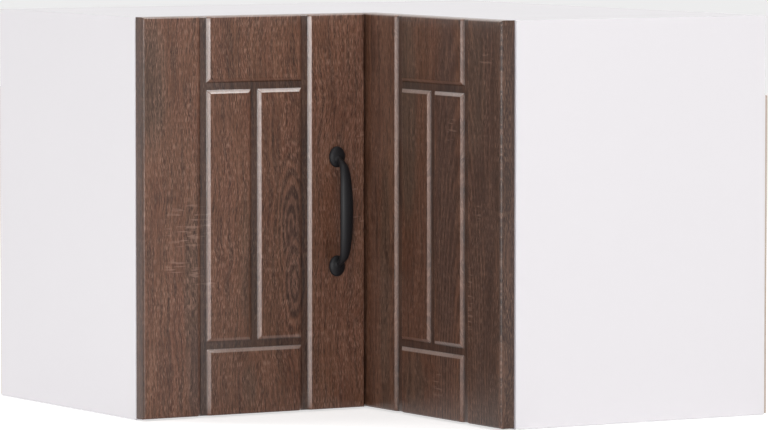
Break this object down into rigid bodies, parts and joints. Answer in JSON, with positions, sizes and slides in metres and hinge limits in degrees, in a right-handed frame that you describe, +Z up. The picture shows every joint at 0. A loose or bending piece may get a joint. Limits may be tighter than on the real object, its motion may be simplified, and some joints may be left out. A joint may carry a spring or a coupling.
{
  "type": "corner wall cabinet",
  "caption": "L-shaped corner wall cabinet with white carcass, inner shelf, and a pair of grooved oak-look doors that fold together, opened by one black bow handle.",
  "frame": {"origin": "bottom centre of the whole cabinet's box", "axes": "+X right and +Y back as seen from the left door's front, +Z up; the cabinet's back corner points to +X +Y, the left door faces -Y and the right door faces -X"},
  "size_m": [0.57, 0.57, 0.4],
  "materials": {
    "white_board": "smooth white coated chipboard",
    "hardboard": "thin brown hardboard",
    "oak_foil": "brown oak foil on grooved fibreboard, vertical grain",
    "black_iron": "matt black",
    "steel": "nickel plated",
    "zinc": "die cast",
    "white_plastic": "moulded",
    "clear_plastic": "soft clear dot"
  },
  "bodies": {
    "carcass": {"bottom_panel": "white_board", "cam_bolt_bottom_left_back": "steel", "cam_bolt_bottom_left_front": "steel", "cam_bolt_bottom_right_back": "steel", "cam_bolt_bottom_right_front": "steel", "cam_bolt_top_left_back": "steel", "cam_bolt_top_left_front": "steel", "cam_bolt_top_right_back": "steel", "cam_bolt_top_right_front": "steel", "cam_bottom_left_back": "zinc", "cam_bottom_left_front": "zinc", "cam_bottom_right_back": "zinc", "cam_bottom_right_front": "zinc", "cam_top_left_back": "zinc", "cam_top_left_front": "zinc", "cam_top_right_back": "zinc", "cam_top_right_front": "zinc", "corner_post": "white_board", "door_bumper_lower": "clear_plastic", "door_bumper_upper": "clear_plastic", "hinge_arm_lower": "steel", "hinge_arm_upper": "steel", "hinge_plate_lower": "steel", "hinge_plate_upper": "steel", "left_back_board": "hardboard", "left_back_rail": "white_board", "left_end_panel": "white_board", "magnetic_catch": "white_plastic", "right_back_board": "hardboard", "right_back_rail": "white_board", "right_end_panel": "white_board", "shelf": "white_board", "shelf_pin_corner": "steel", "shelf_pin_left_back": "steel", "shelf_pin_left_front": "steel", "shelf_pin_right_back": "steel", "shelf_pin_right_front": "steel", "top_panel": "white_board", "wall_hanger_left": "white_plastic", "wall_hanger_right": "white_plastic", "wall_hook_left": "steel", "wall_hook_right": "steel"},
    "left_leaf": {"door_handle": "black_iron", "fold_leaf_left_lower": "steel", "fold_leaf_left_upper": "steel", "fold_pin_lower": "steel", "fold_pin_upper": "steel", "handle_screw_lower": "steel", "handle_screw_upper": "steel", "hinge_cup_lower": "steel", "hinge_cup_upper": "steel", "hinge_pin_lower": "steel", "hinge_pin_upper": "steel", "left_door": "oak_foil"},
    "right_leaf": {"catch_strike": "steel", "fold_leaf_right_lower": "steel", "fold_leaf_right_upper": "steel", "right_door": "oak_foil"}
  },
  "joints": [
    {"name": "door_swing", "type": "hinge", "parent": "carcass", "child": "left_leaf", "pos_m": [-0.2795, -0.02, 0.2], "axis": [0, 0, -1], "range_deg": [0, 100]},
    {"name": "door_fold", "type": "hinge", "parent": "left_leaf", "child": "right_leaf", "pos_m": [-0.0155, -0.0155, 0.2], "axis": [0, 0, 1], "range_deg": [0, 91]}
  ],
  "couplings": [
    {"joint": "door_fold", "follows": "door_swing", "ratio": 0.9}
  ]
}
